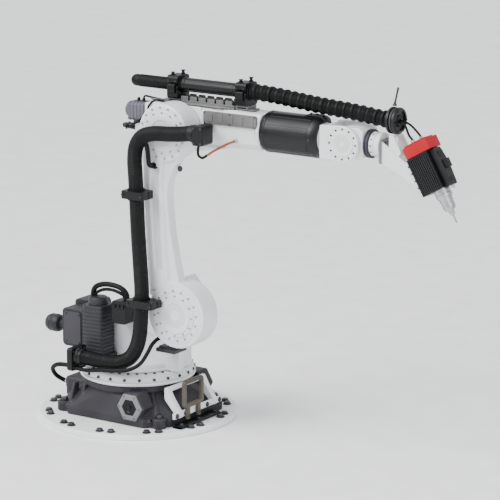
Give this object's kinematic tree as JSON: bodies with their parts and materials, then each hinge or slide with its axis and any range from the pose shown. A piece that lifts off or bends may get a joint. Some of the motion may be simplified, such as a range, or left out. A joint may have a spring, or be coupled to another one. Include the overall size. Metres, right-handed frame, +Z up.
{
  "type": "articulated robot arm",
  "caption": "Industrial articulated robot arm on a round floor plate, with a black hose dress pack along the arm and a small spindle tool held at the wrist.",
  "frame": {"origin": "centre of the mounting plate's underside, on the first axis, on the floor", "axes": "+X forward along the arm in its home pose, +Y to the robot's left, +Z up"},
  "size_m": [2.6329, 1.116, 2.0229],
  "materials": {
    "white_paint": "satin",
    "plate_paint": "satin",
    "cover_paint": "satin",
    "servo_paint": "satin",
    "dark_paint": "satin",
    "motor_paint": "satin",
    "black_plastic": "matte",
    "black_rubber": "matte",
    "steel": "brushed",
    "bracket_grey": "satin",
    "brown_steel": "satin",
    "red_paint": "gloss",
    "brown_cable": "satin",
    "spindle_body": "satin",
    "seal": "matte"
  },
  "bodies": {
    "base": {"mounting_plate": "plate_paint", "base_frame": "dark_paint", "base_side_cover": "cover_paint", "connector_panel": "dark_paint", "base_cable": "black_rubber", "front_plate": "plate_paint", "fork_loop": "brown_steel", "a1_gear_unit": "steel"},
    "column": {"turret_ring": "white_paint", "column_casting": "white_paint", "a1_motor": "motor_paint", "a2_gear_unit": "steel", "a2_motor": "motor_paint", "junction_box": "motor_paint", "rear_gland": "motor_paint", "cable_block": "black_plastic", "motor_cable_arch": "black_rubber", "hose_bracket": "black_plastic", "column_hose": "black_rubber", "lower_cable": "black_rubber", "shoulder_hose": "black_rubber"},
    "link_arm": {"link_arm_casting": "white_paint", "a2_hub_cover": "white_paint", "a3_hub_cover": "white_paint", "hose_clamp_low": "black_plastic", "hose_clamp_mid": "black_plastic", "arm_hose": "black_rubber", "elbow_hose": "black_rubber"},
    "forearm": {"forearm_casting": "white_paint", "a3_gear_unit": "steel", "a3_motor": "motor_paint", "a4_motor": "servo_paint", "a5_motor": "motor_paint", "a6_motor": "motor_paint", "drive_shafts": "steel", "side_hose_clamp": "black_plastic", "signal_cable": "brown_cable", "retractor_rail": "bracket_grey", "retractor_clamp_rear": "black_plastic", "retractor_clamp_front": "black_plastic", "retractor_tube": "black_plastic", "retractor_rear_cap": "black_rubber", "wrist_hose_a4": "black_rubber"},
    "wrist": {"wrist_housing": "white_paint", "wrist_sleeve": "black_plastic", "sleeve_hood": "black_plastic", "wrist_hose_a5": "black_rubber"},
    "hand": {"hand_housing": "white_paint", "flange_seal_ring": "seal", "wrist_hose_a6": "black_rubber"},
    "tool": {"tool_flange": "white_paint", "tool_bracket": "white_paint", "hose_support": "white_paint", "hose_collar": "black_plastic", "status_rod": "steel", "spindle_cap": "red_paint", "spindle_body": "spindle_body", "spindle_side_box": "spindle_body", "spindle_nose": "steel"},
    "spindle": {"spindle_shaft": "steel"}
  },
  "joints": [
    {"name": "a1", "type": "hinge", "parent": "base", "child": "column", "pos_m": [0, 0, 0], "axis": [0, 0, 1], "range_deg": [-185, 185]},
    {"name": "a2", "type": "hinge", "parent": "column", "child": "link_arm", "pos_m": [0.43, 0, 0.675], "axis": [0, 1, 0], "range_deg": [-45, 85], "deforming": ["shoulder_hose"]},
    {"name": "a3", "type": "hinge", "parent": "link_arm", "child": "forearm", "pos_m": [0.35197, 0, 1.67997], "axis": [0, -1, 0], "range_deg": [-60, 150], "deforming": ["elbow_hose"]},
    {"name": "a4", "type": "hinge", "parent": "forearm", "child": "wrist", "pos_m": [0.88, 0, 1.70998], "axis": [1, 0, 0], "range_deg": [-150, 150], "deforming": ["wrist_hose_a4"]},
    {"name": "a5", "type": "hinge", "parent": "wrist", "child": "hand", "pos_m": [1.40997, 0, 1.70998], "axis": [0, -1, 0], "range_deg": [-100, 60], "deforming": ["wrist_hose_a5"]},
    {"name": "a6", "type": "hinge", "parent": "hand", "child": "tool", "pos_m": [1.546, 0, 1.70998], "axis": [1, 0, 0], "range_deg": [-170, 170], "deforming": ["wrist_hose_a6"]},
    {"name": "spindle", "type": "hinge", "parent": "tool", "child": "spindle", "pos_m": [1.826, 0, 1.727], "axis": [0.5, 0, -0.866], "continuous": true}
  ]
}
